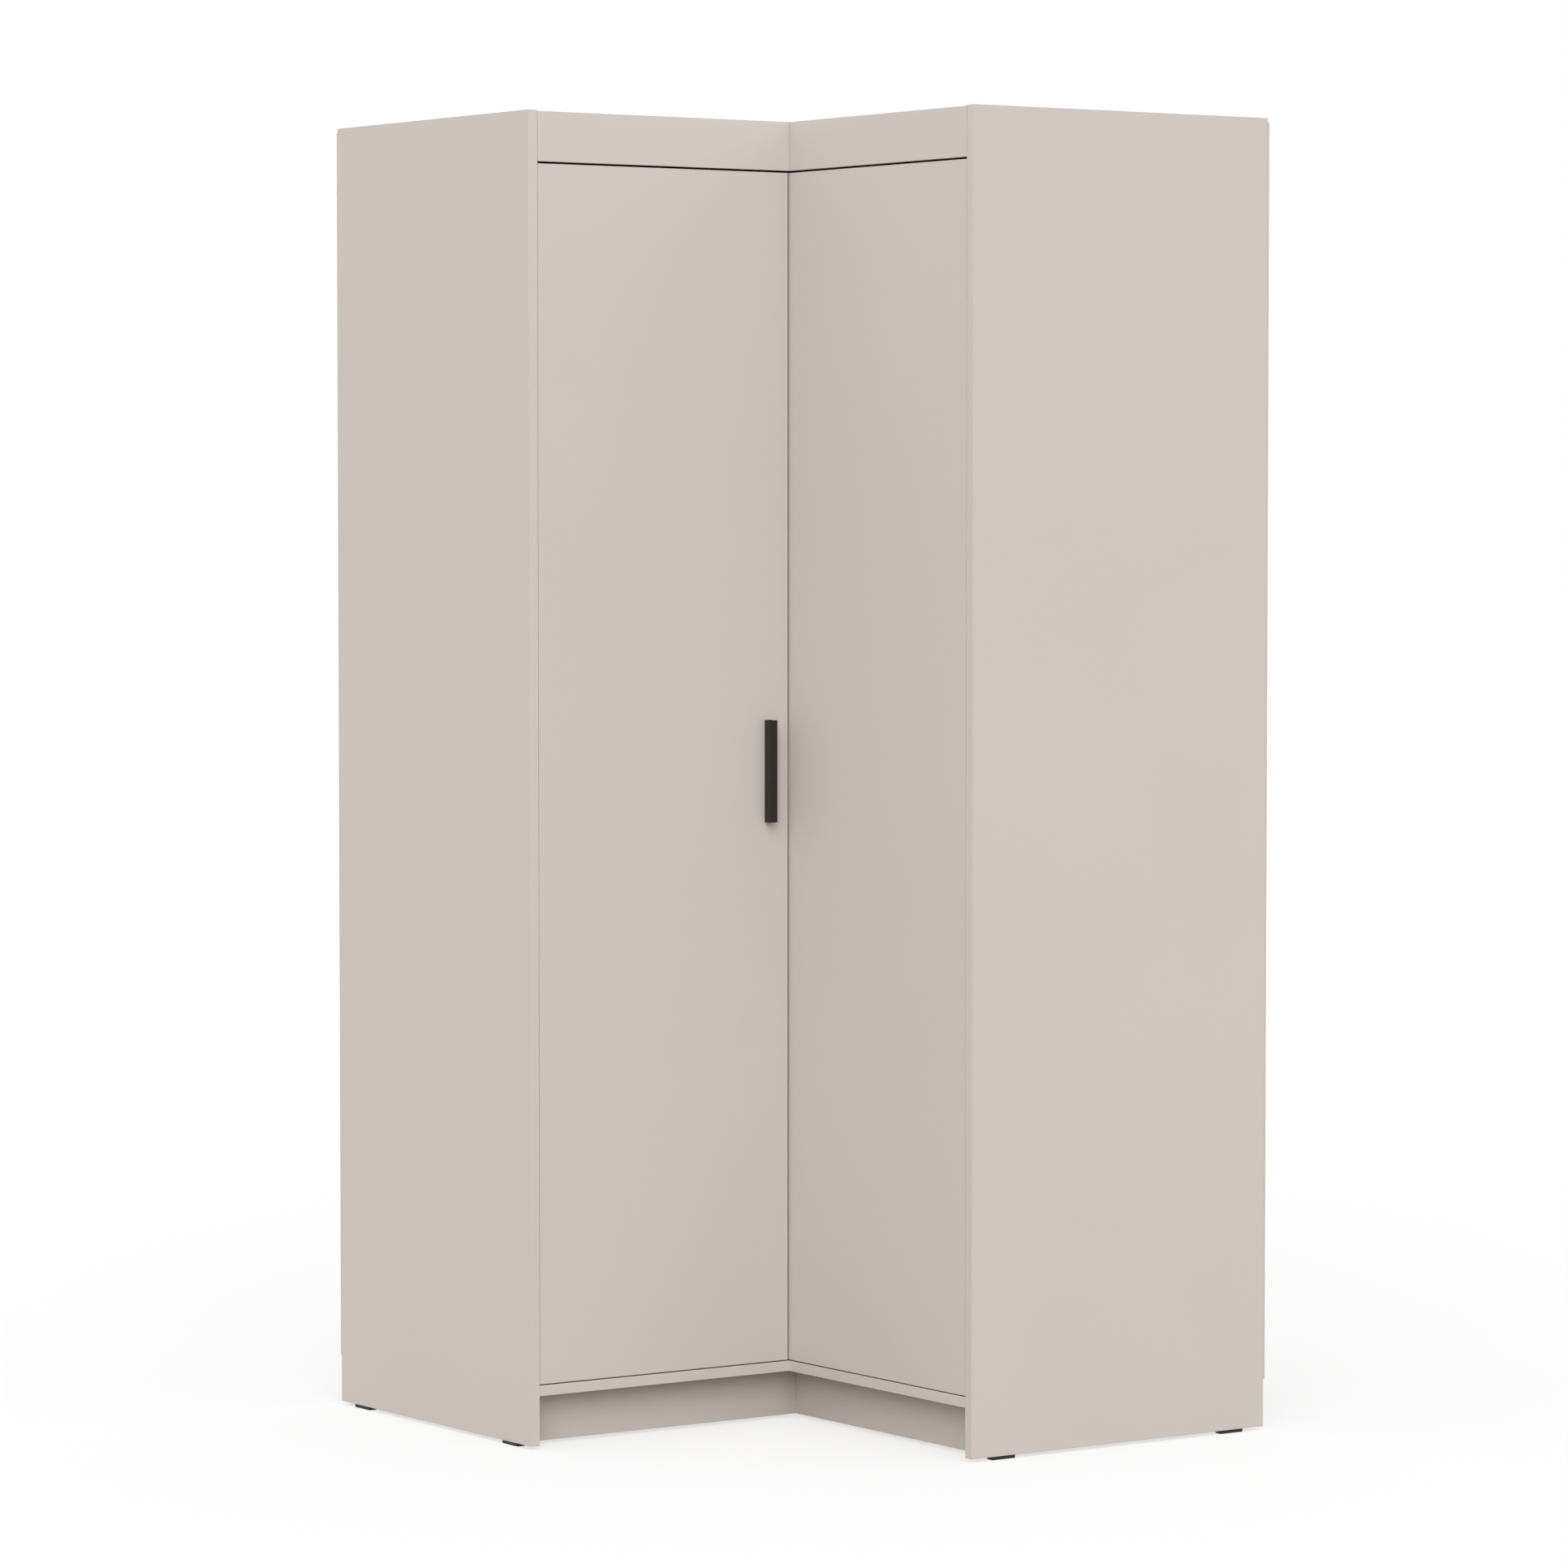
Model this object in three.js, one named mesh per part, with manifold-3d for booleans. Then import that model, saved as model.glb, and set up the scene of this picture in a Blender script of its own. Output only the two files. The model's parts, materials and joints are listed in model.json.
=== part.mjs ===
// Corner wardrobe: two wings at a right angle, each with a full-height inset door, and one slim handle.
// Millimetres, +Z up. The room corner lies towards +X and +Y, and the floor is Z = 0.
// The left wing runs along X. The right wing is built by the same functions, mirrored in the plane X = Y.
import * as THREE from "three";
import { mergeVertices } from "three/addons/utils/BufferGeometryUtils.js";
import Module from "manifold-3d";

const wasm = await Module();
wasm.setup();

// Carcase
const boardThickness = 16;
const wingSpan = 1035; // outer face of a side panel to the rear edge of the boards
const wingDepth = 560; // front edge to rear edge of a side panel
const sidePanelHeight = 2010;
const topBoardDrop = 1.5; // top board below the tops of the side panels
const fasciaHeight = 75;
const plinthHeight = 75;
const plinthRecess = 42.5;
const cornerPostWidth = 80;
const glideLength = 42;
const glideHeight = 5;
const glideInset = 40; // from the end of the board that stands on it
const glideTaper = 1.2; // the glide narrows by this much towards the floor
const touchGap = 0.3; // left between pieces that touch
const cutOverrun = 1; // how far a cut runs past the face that it opens

// Backs, each of two sheets held by a strip of H section
const backThickness = 3;
const backSideInset = 0.5;
const backTopDrop = 6.5;
const backBelowBoard = 2.5;
const stripWidth = 14;
const stripFlange = 0.8;
const stripWeb = 1.2;

// Hat shelf and hanging rails
const overShelfHeight = 281.8; // clear height between the hat shelf and the top board
const hatShelfSetback = 20; // behind the doors
const railHeight = 30;
const railWidth = 15;
const railWall = 1.2;
const railDrop = 55; // middle of the rail below the hat shelf
const railPastCorner = 215; // how far a rail runs on behind the other wing's door plane
const socketCollar = 12;
const socketBase = 2.5;
const socketWall = 2;
const socketEar = 13; // the ears reach this far past the collar
const bracketThickness = 12;
const bracketWall = 2.5;
const bracketStem = 9;
const bracketFlange = 44;
const bracketFlangeThickness = 3;
const bracketFromRailEnd = 30;
const railScrewRadius = 2.3;

// Doors
const hingeSideGap = 0.5;
const doorTopGap = 3.3;
const doorBottomGap = 2;
const leftDoorFreeGap = 3.3; // from the left door's free edge to the right door's front face
const rightDoorPastCorner = 6; // the right door's free edge runs on past the left door's front face

// Handle, a folded channel that is open towards the door's free edge
const handleLength = 158;
const handleWidth = 13.2;
const handleProjection = 16.3;
const handleWall = 2;
const handleLip = 4;
const handleToFreeEdge = 30;
const handleMiddleHeight = 1015;
const handleScrewSpacing = 128;
const handleScrewHole = 2.5;

// Concealed hinges
const hingeCount = 4;
const hingeToDoorEnd = 100;
const cupBoreRadius = 17.5;
const cupDepth = 11.5;
const cupWall = 1.5;
const cupFloor = 1;
const cupToDoorEdge = 5;
const cupFlange = 1.2;
const cupFlangeRim = 1.8;
const cupEarOffset = 9.5;
const cupEarSpacing = 45;
const cupEarRadius = 6.5;
const cupScrewRadius = 2.2;
const armWidth = 14;
const armHeight = 12.5;
const armWall = 1.4;
const armRear = 74; // from the back of the door to the rear end of the arm
const armCrankRear = 30;
const armCrankFront = 14;
const armHollowFront = 24;
const noseThickness = 9;
const noseBehindCupMiddle = 5; // the nose's face towards the side panel, from the middle of the cup
const noseDip = 7.5;
const noseNarrowing = 2;
const plateBase = 2;
const plateScrewSpacing = 32;
const plateEarRadius = 6.5;
const plateScrewRadius = 2.6;
const plateScrewLine = 39; // from the back of the door
const plateFront = 20;
const plateRear = 70;
const plateWidth = 12;
const saddleWidth = 10.4;
const saddleFront = 26;
const saddleRear = 68;
const saddleClearance = 0.6; // under the web of the arm

// Facets
const roundSegments = 24;
const arcSegments = 6;
const mergeTolerance = 1e-4;

// Levels and planes that follow
const frontPlane = wingSpan - wingDepth;
const panelBottom = glideHeight + touchGap;
const panelTop = panelBottom + sidePanelHeight;
const plinthTop = panelBottom + plinthHeight;
const bottomBoardUnder = plinthTop + touchGap;
const bottomBoardTop = bottomBoardUnder + boardThickness;
const topBoardTop = panelTop - topBoardDrop;
const topBoardUnder = topBoardTop - boardThickness;
const fasciaBottom = topBoardTop - fasciaHeight;
const doorBottom = bottomBoardTop + doorBottomGap;
const doorTop = fasciaBottom - doorTopGap;
const doorBack = frontPlane + boardThickness;
const innerStart = boardThickness + touchGap;
const plinthFront = frontPlane + plinthRecess;
const hatShelfFront = doorBack + hatShelfSetback;
const hatShelfTop = topBoardUnder - overShelfHeight;
const hatShelfUnder = hatShelfTop - boardThickness;
const cornerPostStart = wingSpan - boardThickness - touchGap - cornerPostWidth;
const backInner = wingSpan + touchGap;
const backOuter = backInner + backThickness;
const stripOuter = backOuter + touchGap + stripFlange;
const railLine = (doorBack + wingSpan) / 2;
const railLevel = hatShelfUnder - railDrop;
const railEnd = frontPlane + railPastCorner;
const cupRadius = cupBoreRadius - touchGap;
const cupMiddle = boardThickness + hingeSideGap + cupToDoorEdge + cupBoreRadius;

const xAxis = new THREE.Vector3(1, 0, 0);
const yAxis = new THREE.Vector3(0, 1, 0);
const zAxis = new THREE.Vector3(0, 0, 1);
const alongX = new THREE.Matrix4().makeBasis(yAxis, zAxis, xAxis); // outline in (y, z)
const alongY = new THREE.Matrix4().makeBasis(zAxis, xAxis, yAxis); // outline in (z, x)
const alongZ = new THREE.Matrix4(); // outline in (x, y)

const laminate = material(0xc9bdb1, 0.55, 0);
const hardboard = material(0xd6cdc2, 0.7, 0);
const blackMetal = material(0x2b2927, 0.45, 0.6);
const nickel = material(0xb9b9b6, 0.3, 0.9);
const chrome = material(0xd8d8da, 0.15, 1);
const blackPlastic = material(0x1a1a1a, 0.6, 0);
const whitePlastic = material(0xe6e3dd, 0.5, 0);

function material(color, roughness, metalness) {
  return new THREE.MeshStandardMaterial({ color, roughness, metalness });
}

function block([x0, y0, z0], [x1, y1, z1]) {
  const geometry = new THREE.BoxGeometry(x1 - x0, y1 - y0, z1 - z0);
  return geometry.translate((x0 + x1) / 2, (y0 + y1) / 2, (z0 + z1) / 2);
}

function polygon(points) {
  return new THREE.Shape(points.map(([u, v]) => new THREE.Vector2(u, v)));
}

// A slot with round ends, long in the outline's second direction.
function slot(u, v, halfStraight, radius) {
  const outline = new THREE.Shape();
  outline.absarc(u, v + halfStraight, radius, 0, Math.PI);
  outline.absarc(u, v - halfStraight, radius, Math.PI, 2 * Math.PI);
  return outline;
}

function prism(outline, from, to, direction) {
  const options = { depth: to - from, bevelEnabled: false, curveSegments: arcSegments };
  return new THREE.ExtrudeGeometry(outline, options).translate(0, 0, from).applyMatrix4(direction);
}

// A round rod whose axis is parallel to Y.
function rodAlongY(radius, from, to, x, z) {
  const geometry = new THREE.CylinderGeometry(radius, radius, to - from, roundSegments);
  return geometry.translate(x, (from + to) / 2, z);
}

function rodAlongX(radius, from, to, y, z) {
  const geometry = new THREE.CylinderGeometry(radius, radius, to - from, roundSegments);
  return geometry.rotateZ(-Math.PI / 2).translate((from + to) / 2, y, z);
}

function rodAlongZ(radius, from, to, x, y) {
  const geometry = new THREE.CylinderGeometry(radius, radius, to - from, roundSegments);
  return geometry.rotateX(Math.PI / 2).translate(x, y, (from + to) / 2);
}

function toSolid(geometry) {
  const plain = new THREE.BufferGeometry();
  plain.setAttribute("position", geometry.getAttribute("position"));
  plain.setIndex(geometry.index);
  const merged = mergeVertices(plain, mergeTolerance);
  const vertProperties = merged.attributes.position.array;
  const triVerts = new Uint32Array(merged.index.array);
  return new wasm.Manifold(new wasm.Mesh({ numProp: 3, vertProperties, triVerts }));
}

function toGeometry(solid) {
  const { vertProperties, triVerts } = solid.getMesh();
  const geometry = new THREE.BufferGeometry();
  geometry.setAttribute("position", new THREE.BufferAttribute(vertProperties, 3));
  geometry.setIndex(new THREE.BufferAttribute(triVerts, 1));
  geometry.computeVertexNormals();
  return geometry;
}

function join(...pieces) {
  return toGeometry(pieces.map(toSolid).reduce((whole, piece) => whole.add(piece)));
}

function cut(piece, ...tools) {
  return toGeometry(tools.map(toSolid).reduce((rest, tool) => rest.subtract(tool), toSolid(piece)));
}

function place(group, name, geometry, finish) {
  const mesh = new THREE.Mesh(geometry, finish);
  mesh.name = name;
  group.add(mesh);
}

// The left wing's boards run on into the room corner, where they are notched round the two corner posts.
function cornerBoardOutline(front) {
  const postSide = cornerPostStart - touchGap;
  const postFace = wingSpan - boardThickness - touchGap;
  const postEnd = wingSpan - cornerPostWidth - touchGap;
  return polygon([
    [innerStart, front],
    [wingSpan, front],
    [wingSpan, postEnd],
    [postFace, postEnd],
    [postFace, postFace],
    [postSide, postFace],
    [postSide, wingSpan],
    [innerStart, wingSpan],
  ]);
}

function addCarcase(wing) {
  const { side, runsThrough, group } = wing;
  const board = (name, low, high) => place(group, `${side}_${name}`, block(low, high), laminate);

  board("side_panel", [0, frontPlane, panelBottom], [boardThickness, wingSpan, panelTop]);

  const fasciaEnd = runsThrough ? doorBack : frontPlane - touchGap;
  board("fascia", [innerStart, frontPlane, fasciaBottom], [fasciaEnd, doorBack, topBoardTop]);

  const plinthEnd = runsThrough ? plinthFront + boardThickness : plinthFront - touchGap;
  board("plinth", [innerStart, plinthFront, panelBottom], [plinthEnd, plinthFront + boardThickness, plinthTop]);

  const topEnd = runsThrough ? wingSpan : doorBack;
  board("top_board", [innerStart, doorBack + touchGap, topBoardUnder], [topEnd, wingSpan, topBoardTop]);

  const postStart = runsThrough ? cornerPostStart : wingSpan - cornerPostWidth;
  const postFront = wingSpan - boardThickness;
  board(
    "corner_post",
    [postStart, postFront, panelBottom],
    [postStart + cornerPostWidth, wingSpan, topBoardUnder - touchGap],
  );

  if (runsThrough) {
    const bottom = prism(cornerBoardOutline(frontPlane), bottomBoardUnder, bottomBoardTop, alongZ);
    const shelf = prism(cornerBoardOutline(hatShelfFront), hatShelfUnder, hatShelfTop, alongZ);
    place(group, `${side}_bottom_board`, bottom, laminate);
    place(group, `${side}_hat_shelf`, shelf, laminate);
  } else {
    const bottomEnd = frontPlane - touchGap;
    const shelfEnd = hatShelfFront - touchGap;
    board("bottom_board", [innerStart, frontPlane, bottomBoardUnder], [bottomEnd, wingSpan, bottomBoardTop]);
    board("hat_shelf", [innerStart, hatShelfFront, hatShelfUnder], [shelfEnd, wingSpan, hatShelfTop]);
  }

  const postMiddle = postStart + cornerPostWidth / 2;
  const glideMiddle = glideInset + glideLength / 2;
  place(group, `${side}_front_glide`, glideAcrossX(boardThickness / 2, frontPlane + glideMiddle), blackPlastic);
  place(group, `${side}_rear_glide`, glideAcrossX(boardThickness / 2, wingSpan - glideMiddle), blackPlastic);
  place(group, `${side}_corner_glide`, glideAcrossY(postMiddle, wingSpan - boardThickness / 2), blackPlastic);
}

// The end view of a glide, narrower where it meets the floor.
function glideOutline(middle) {
  const half = boardThickness / 2;
  return polygon([
    [middle - half + glideTaper, 0],
    [middle + half - glideTaper, 0],
    [middle + half, glideHeight],
    [middle - half, glideHeight],
  ]);
}

// A glide under a board whose faces look along X.
function glideAcrossX(x, y) {
  const swapped = glideOutline(x).getPoints().map((point) => [point.y, point.x]);
  return prism(polygon(swapped), y - glideLength / 2, y + glideLength / 2, alongY);
}

// A glide under a board whose faces look along Y.
function glideAcrossY(x, y) {
  return prism(glideOutline(y), x - glideLength / 2, x + glideLength / 2, alongX);
}

function addBack({ side, group }) {
  const bottom = bottomBoardUnder - backBelowBoard;
  const top = panelTop - backTopDrop;
  const middle = wingSpan / 2;
  const sheetEdge = stripWeb / 2 + touchGap;
  const sheet = (start, end) => block([start, backInner, bottom], [end, backOuter, top]);
  place(group, `${side}_back_outer_sheet`, sheet(backSideInset, middle - sheetEdge), hardboard);
  place(group, `${side}_back_corner_sheet`, sheet(middle + sheetEdge, wingSpan), hardboard);

  const stripInner = backInner - touchGap - stripFlange;
  const flange = (from) =>
    block([middle - stripWidth / 2, from, bottom], [middle + stripWidth / 2, from + stripFlange, top]);
  const web = block([middle - stripWeb / 2, stripInner, bottom], [middle + stripWeb / 2, stripOuter, top]);
  const strip = join(flange(stripInner), flange(stripOuter - stripFlange), web);
  // The inner flange stops at each board that the back is nailed to.
  const gapAt = (from, to) =>
    block(
      [middle - stripWidth, stripInner - cutOverrun, from - touchGap],
      [middle + stripWidth, backInner, to + touchGap],
    );
  const trimmed = cut(
    strip,
    gapAt(bottom - cutOverrun, bottomBoardTop),
    gapAt(hatShelfUnder, hatShelfTop),
    gapAt(topBoardUnder, topBoardTop + cutOverrun),
  );
  place(group, `${side}_back_joint_strip`, trimmed, whitePlastic);
}

// The rail's oval section, grown by a margin, in (y, z).
function railOval(margin) {
  const radius = railWidth / 2;
  return slot(railLine, railLevel, railHeight / 2 - radius, radius + margin);
}

function addHangingRail({ side, group }) {
  const socketStart = boardThickness + touchGap;
  const socketFloor = socketStart + socketBase;
  const socketEnd = socketFloor + socketCollar;

  const tube = railOval(0);
  tube.holes.push(railOval(-railWall));
  place(group, `${side}_hanging_rail`, prism(tube, socketFloor + touchGap, railEnd, alongX), chrome);

  const bore = railOval(touchGap);
  const collar = prism(railOval(touchGap + socketWall), socketStart, socketEnd, alongX);
  const earSpan = railHeight / 2 + socketWall + socketEar / 2;
  const ears = prism(slot(railLine, railLevel, earSpan, railWidth / 2), socketStart, socketFloor, alongX);
  const screwHole = (sign) =>
    rodAlongX(
      railScrewRadius,
      socketStart - cutOverrun,
      socketFloor + cutOverrun,
      railLine,
      railLevel + sign * (earSpan + railScrewRadius / 2),
    );
  const socket = cut(
    join(collar, ears),
    prism(bore, socketFloor, socketEnd + cutOverrun, alongX),
    screwHole(-1),
    screwHole(1),
  );
  place(group, `${side}_rail_socket`, socket, chrome);

  const bracketEnd = railEnd - bracketFromRailEnd;
  const bracketStart = bracketEnd - bracketThickness;
  const shelfSide = hatShelfUnder - touchGap;
  const bracketMiddle = (bracketStart + bracketEnd) / 2;
  const ring = prism(railOval(touchGap + bracketWall), bracketStart, bracketEnd, alongX);
  const stem = block(
    [bracketStart, railLine - bracketStem / 2, railLevel],
    [bracketEnd, railLine + bracketStem / 2, shelfSide],
  );
  const flange = block(
    [bracketStart, railLine - bracketFlange / 2, shelfSide - bracketFlangeThickness],
    [bracketEnd, railLine + bracketFlange / 2, shelfSide],
  );
  const flangeHole = (sign) =>
    rodAlongZ(
      railScrewRadius,
      shelfSide - bracketFlangeThickness - cutOverrun,
      shelfSide + cutOverrun,
      bracketMiddle,
      railLine + sign * (bracketFlange / 2 - bracketThickness / 2),
    );
  const bracket = cut(
    join(ring, stem, flange),
    prism(bore, bracketStart - cutOverrun, bracketEnd + cutOverrun, alongX),
    flangeHole(-1),
    flangeHole(1),
  );
  place(group, `${side}_rail_bracket`, bracket, chrome);
}

function hingeLevels() {
  const lowest = doorBottom + hingeToDoorEnd;
  const step = (doorTop - hingeToDoorEnd - lowest) / (hingeCount - 1);
  return Array.from({ length: hingeCount }, (_, index) => lowest + index * step);
}

function addDoor({ side, group, pastCorner, carriesHandle }) {
  const doorEnd = frontPlane + pastCorner;
  const panel = block([boardThickness + hingeSideGap, frontPlane, doorBottom], [doorEnd, doorBack, doorTop]);
  const cupBores = hingeLevels().map((z) =>
    rodAlongY(cupBoreRadius, doorBack - cupDepth - touchGap, doorBack + cutOverrun, cupMiddle, z),
  );
  const handleMiddle = doorEnd - handleToFreeEdge - handleWidth / 2;
  const screwHoles = [-1, 1].map((sign) =>
    rodAlongY(
      handleScrewHole,
      frontPlane - cutOverrun,
      doorBack + cutOverrun,
      handleMiddle,
      handleMiddleHeight + (sign * handleScrewSpacing) / 2,
    ),
  );
  const holes = carriesHandle ? [...cupBores, ...screwHoles] : cupBores;
  place(group, `${side}_door_panel`, cut(panel, ...holes), laminate);
  if (carriesHandle) place(group, `${side}_door_handle`, handleChannel(handleMiddle), blackMetal);
}

// Seen from above: a base on the door, a web on the hinge side, a front plate and a short lip turned back.
function handleChannel(middle) {
  const left = middle - handleWidth / 2;
  const right = middle + handleWidth / 2;
  const doorSide = frontPlane - touchGap;
  const front = frontPlane - handleProjection;
  const section = polygon([
    [left, doorSide],
    [left, front],
    [right, front],
    [right, front + handleLip],
    [right - handleWall, front + handleLip],
    [right - handleWall, front + handleWall],
    [left + handleWall, front + handleWall],
    [left + handleWall, doorSide - handleWall],
    [right, doorSide - handleWall],
    [right, doorSide],
  ]);
  const low = handleMiddleHeight - handleLength / 2;
  return prism(section, low, low + handleLength, alongZ);
}

// The cup rides in the door: a thin round cup, and a flange on the door's back with an ear for each screw.
function hingeCup(z) {
  const flangeStart = doorBack + touchGap;
  const flangeEnd = flangeStart + cupFlange;
  const bottom = doorBack - cupDepth;
  const profile = [
    [0, bottom],
    [cupRadius, bottom],
    [cupRadius, flangeStart],
    [cupRadius + cupFlangeRim, flangeStart],
    [cupRadius + cupFlangeRim, flangeEnd],
    [cupRadius - cupWall, flangeEnd],
    [cupRadius - cupWall, bottom + cupFloor],
    [0, bottom + cupFloor],
  ].map(([radius, height]) => new THREE.Vector2(radius, height));
  const cup = new THREE.LatheGeometry(profile, roundSegments).translate(cupMiddle, 0, z);
  const earOutline = new THREE.Shape();
  const earX = cupMiddle + cupEarOffset;
  earOutline.absarc(z + cupEarSpacing / 2, earX, cupEarRadius, -Math.PI / 2, Math.PI / 2);
  earOutline.absarc(z - cupEarSpacing / 2, earX, cupEarRadius, Math.PI / 2, 1.5 * Math.PI);
  const ears = prism(earOutline, flangeStart, flangeEnd, alongY);
  const mouth = rodAlongY(cupRadius - cupWall, flangeStart - cutOverrun, flangeEnd + cutOverrun, cupMiddle, z);
  const screwHole = (sign) =>
    rodAlongY(
      cupScrewRadius,
      flangeStart - cutOverrun,
      flangeEnd + cutOverrun,
      earX,
      z + (sign * cupEarSpacing) / 2,
    );
  return join(cup, cut(ears, mouth, screwHole(-1), screwHole(1)));
}

// The arm stays with the side panel: a channel over the plate's saddle, cranked out to a nose inside the cup.
function hingeArm(z) {
  const foot = boardThickness + touchGap + plateBase + touchGap;
  const webOuter = boardThickness + armHeight;
  const webInner = webOuter - armWall;
  const noseInner = cupMiddle - noseBehindCupMiddle;
  const noseOuter = noseInner + noseThickness;
  const half = armWidth / 2;
  const outline = polygon([
    [foot, doorBack + armRear],
    [foot, doorBack + armHollowFront],
    [noseInner, doorBack + armCrankFront / 2],
    [noseInner, doorBack - noseDip],
    [noseOuter, doorBack - noseDip],
    [noseOuter, doorBack + armCrankFront],
    [webOuter, doorBack + armCrankRear],
    [webOuter, doorBack + armRear],
  ]);
  const arm = prism(outline, z - half, z + half, alongZ);
  const hollow = block(
    [foot - cutOverrun, doorBack + armHollowFront, z - half + armWall],
    [webInner, doorBack + armRear + cutOverrun, z + half - armWall],
  );
  const cheek = (from, to) =>
    block([noseInner - cutOverrun, doorBack - noseDip - cutOverrun, from], [noseOuter + cutOverrun, doorBack, to]);
  return cut(
    arm,
    hollow,
    cheek(z - half - cutOverrun, z - half + noseNarrowing),
    cheek(z + half - noseNarrowing, z + half + cutOverrun),
  );
}

// The plate is screwed to the side panel: a cross with a raised saddle that the arm clips over.
function hingePlate(z) {
  const start = boardThickness + touchGap;
  const base = start + plateBase;
  const saddleTop = boardThickness + armHeight - armWall - saddleClearance;
  const screwY = doorBack + plateScrewLine;
  const cross = prism(slot(screwY, z, plateScrewSpacing / 2, plateEarRadius), start, base, alongX);
  const spine = block(
    [start, doorBack + plateFront, z - plateWidth / 2],
    [base, doorBack + plateRear, z + plateWidth / 2],
  );
  const saddle = block(
    [start, doorBack + saddleFront, z - saddleWidth / 2],
    [saddleTop, doorBack + saddleRear, z + saddleWidth / 2],
  );
  const screwHole = (sign) =>
    rodAlongX(
      plateScrewRadius,
      start - cutOverrun,
      base + cutOverrun,
      screwY,
      z + (sign * plateScrewSpacing) / 2,
    );
  return cut(join(cross, spine, saddle), screwHole(-1), screwHole(1));
}

function addHinges({ side, group }) {
  hingeLevels().forEach((z, index) => {
    const name = `${side}_hinge_${index + 1}`;
    place(group, `${name}_cup`, hingeCup(z), nickel);
    place(group, `${name}_arm`, hingeArm(z), nickel);
    place(group, `${name}_plate`, hingePlate(z), nickel);
  });
}

function buildWing(wing) {
  addCarcase(wing);
  addBack(wing);
  addHangingRail(wing);
  addDoor(wing);
  addHinges(wing);
  return wing.group;
}

const leftWing = buildWing({
  side: "left",
  group: new THREE.Group(),
  runsThrough: true,
  pastCorner: -leftDoorFreeGap,
  carriesHandle: true,
});
const rightWing = buildWing({
  side: "right",
  group: new THREE.Group(),
  runsThrough: false,
  pastCorner: rightDoorPastCorner,
  carriesHandle: false,
});
// A turn of a quarter after a flip of Y swaps X and Y.
rightWing.scale.y = -1;
rightWing.rotation.z = Math.PI / 2;

const wardrobe = new THREE.Group();
wardrobe.add(leftWing, rightWing);
wardrobe.position.set(-stripOuter / 2, -stripOuter / 2, 0);

export default wardrobe;
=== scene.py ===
import json
import math

import bpy
from mathutils import Matrix, Quaternion, Vector

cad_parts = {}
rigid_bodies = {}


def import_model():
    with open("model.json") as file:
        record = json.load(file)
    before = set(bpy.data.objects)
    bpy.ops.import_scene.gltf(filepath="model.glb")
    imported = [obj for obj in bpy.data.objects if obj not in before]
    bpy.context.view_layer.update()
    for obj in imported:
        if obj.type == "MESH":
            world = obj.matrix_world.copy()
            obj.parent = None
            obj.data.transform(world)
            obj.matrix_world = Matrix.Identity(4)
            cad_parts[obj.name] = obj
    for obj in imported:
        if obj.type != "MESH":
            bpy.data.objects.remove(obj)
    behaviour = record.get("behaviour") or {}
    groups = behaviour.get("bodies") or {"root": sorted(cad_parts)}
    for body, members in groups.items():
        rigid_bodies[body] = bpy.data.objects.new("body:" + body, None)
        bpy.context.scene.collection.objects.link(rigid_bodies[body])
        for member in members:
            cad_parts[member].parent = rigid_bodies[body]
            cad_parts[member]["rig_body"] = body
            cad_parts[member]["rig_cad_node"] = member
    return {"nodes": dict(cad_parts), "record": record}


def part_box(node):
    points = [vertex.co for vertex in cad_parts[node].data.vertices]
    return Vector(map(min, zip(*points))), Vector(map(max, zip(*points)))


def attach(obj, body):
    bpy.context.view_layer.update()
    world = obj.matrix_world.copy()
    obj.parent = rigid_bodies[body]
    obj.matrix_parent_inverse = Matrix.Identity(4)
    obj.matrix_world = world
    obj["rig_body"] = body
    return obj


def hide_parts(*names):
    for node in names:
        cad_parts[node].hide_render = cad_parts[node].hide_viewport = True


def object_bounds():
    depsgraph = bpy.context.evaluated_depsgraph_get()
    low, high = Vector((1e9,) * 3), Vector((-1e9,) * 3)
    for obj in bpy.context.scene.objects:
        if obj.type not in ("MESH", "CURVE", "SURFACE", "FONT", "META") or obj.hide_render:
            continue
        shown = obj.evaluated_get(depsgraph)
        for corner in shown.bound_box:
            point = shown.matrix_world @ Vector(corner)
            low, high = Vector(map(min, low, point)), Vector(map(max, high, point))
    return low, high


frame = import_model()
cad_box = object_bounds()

MM = 0.001
HALF_SPAN = cad_box[1][0]
SIDES = ("left", "right")
ALONG, ACROSS, UP = 0, 1, 2  # axes of a wing
SWAP_X_AND_Y = Matrix(((0, 1, 0, 0), (1, 0, 0, 0), (0, 0, 1, 0), (0, 0, 0, 1)))


def plan_box(kind, side="left"):
    """The low and the high corner of a piece, in the left wing's plan."""
    floor_corner = Vector((-HALF_SPAN, -HALF_SPAN, 0))
    return [(corner - floor_corner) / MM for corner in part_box(f"{side}_{kind}")]


def plan_middle(kind):
    low, high = plan_box(kind)
    return (low + high) / 2


# Boards
TAPE = 0.8 * MM  # thickness of the edge tape
GLUE_LINE = 0.15 * MM
BOARD_ROUND = 0.3 * MM
FACE, TAPED, GLUED, RAW = range(4)  # material slots of a board

# Levels and planes that the small parts sit on
PANEL_FACE = plan_box("side_panel")[1].x
DOOR_BACK = plan_box("door_panel")[1].y
BACK_OUTER = plan_box("back_outer_sheet")[1].y
HAT_SHELF_UNDER = plan_box("hat_shelf")[0].z
TOP_BOARD_UNDER = plan_box("top_board")[0].z
BOARD_MIDDLES = [plan_middle(board).z for board in ("bottom_board", "hat_shelf", "top_board")]
HINGE_LEVELS = [plan_middle(f"hinge_{number}_cup").z for number in range(1, 5)]
RAIL_LINE, RAIL_LEVEL = plan_middle("hanging_rail").yz
HANDLE_LINE, HANDLE_LEVEL = plan_middle("door_handle").xz

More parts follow.
